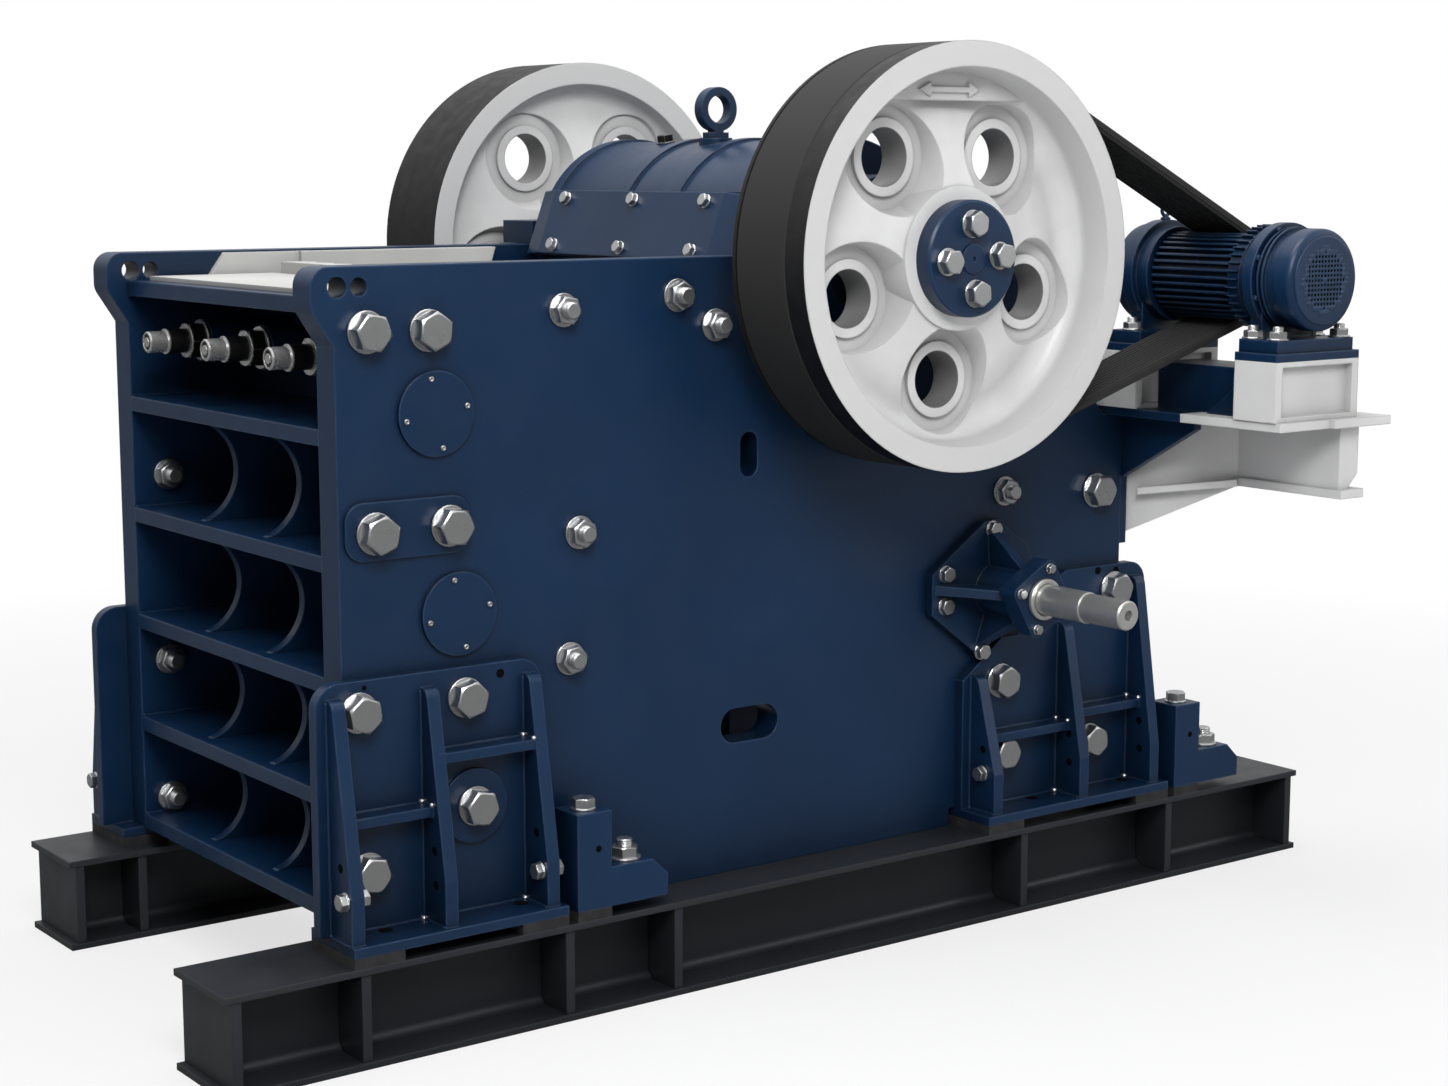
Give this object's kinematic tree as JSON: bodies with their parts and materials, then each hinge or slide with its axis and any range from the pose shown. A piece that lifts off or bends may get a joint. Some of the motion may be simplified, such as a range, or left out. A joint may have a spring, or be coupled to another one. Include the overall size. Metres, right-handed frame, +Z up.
{
  "type": "jaw crusher",
  "caption": "Single-toggle jaw crusher on skid beams, with dished flywheels on an eccentric shaft, a belt drive and a motor carried behind the frame.",
  "frame": {"origin": "on the ground, in the middle of the skid's length and on the crusher's middle plane", "axes": "+Z up, +X from the feed end to the drive end, -Y towards the belt side"},
  "size_m": [3.51, 2.401, 2.346],
  "materials": {
    "navy_paint": "satin enamel",
    "white_paint": "satin enamel",
    "grey_skid_paint": "satin enamel",
    "liner_steel": "matt primer",
    "polished_steel": "turned",
    "belt_rubber": "matt",
    "pad_steel": "rough",
    "black_oxide": "black oxide"
  },
  "bodies": {
    "frame": {"near_skid_beam": "grey_skid_paint", "far_skid_beam": "grey_skid_paint", "skid_stiffeners": "grey_skid_paint", "near_side_plate": "navy_paint", "far_side_plate": "navy_paint", "near_bearing_housing": "navy_paint", "far_bearing_housing": "navy_paint", "near_setting_bracket": "navy_paint", "far_setting_bracket": "navy_paint", "front_wall": "navy_paint", "front_shelves": "navy_paint", "front_webs": "navy_paint", "feed_lip": "white_paint", "jaw_fixing_bolts": "black_oxide", "fixed_jaw_die": "liner_steel", "near_cheek_plate": "liner_steel", "far_cheek_plate": "liner_steel", "near_front_foot": "navy_paint", "far_front_foot": "navy_paint", "near_rear_foot": "navy_paint", "far_rear_foot": "navy_paint", "foot_pads": "pad_steel", "hold_down_clamps": "navy_paint", "side_covers": "navy_paint", "rear_wall": "navy_paint", "rear_ribs": "navy_paint", "toggle_beam": "navy_paint", "toggle_plate": "pad_steel", "drive_belt": "belt_rubber", "motor_shields": "navy_paint", "fan_cowl": "navy_paint", "motor_plates": "navy_paint", "motor_pedestals": "white_paint", "motor_cross_beam": "white_paint", "motor_arms": "navy_paint"},
    "rotor": {"eccentric_shaft": "polished_steel", "near_flywheel": "white_paint", "far_flywheel": "white_paint", "hub_covers": "navy_paint"},
    "pitman": {"pitman": "navy_paint", "moving_jaw_die": "liner_steel", "pitman_guard": "navy_paint", "lifting_eye": "navy_paint"},
    "drum": {"drive_drum": "navy_paint"},
    "near_setting": {"near_setting_rod": "polished_steel"},
    "far_setting": {"far_setting_rod": "polished_steel"}
  },
  "joints": [
    {"name": "rotor_spin", "type": "hinge", "parent": "frame", "child": "rotor", "pos_m": [0.186, 0, 1.815], "axis": [0, 1, 0], "continuous": true},
    {"name": "pitman_swing", "type": "hinge", "parent": "rotor", "child": "pitman", "pos_m": [0.186, 0, 1.8], "axis": [0, 1, 0], "continuous": true},
    {"name": "drum_spin", "type": "hinge", "parent": "frame", "child": "drum", "pos_m": [1.225, -0.87, 1.742], "axis": [0, 1, 0], "continuous": true},
    {"name": "near_setting_slide", "type": "slide", "parent": "frame", "child": "near_setting", "axis": [0, -1, 0], "range_m": [-0.04, 0.04]},
    {"name": "far_setting_slide", "type": "slide", "parent": "frame", "child": "far_setting", "axis": [0, 1, 0], "range_m": [-0.04, 0.04]}
  ],
  "couplings": [
    {"joint": "pitman_swing", "follows": "rotor_spin", "ratio": -1},
    {"joint": "drum_spin", "follows": "rotor_spin", "ratio": 3.943}
  ]
}
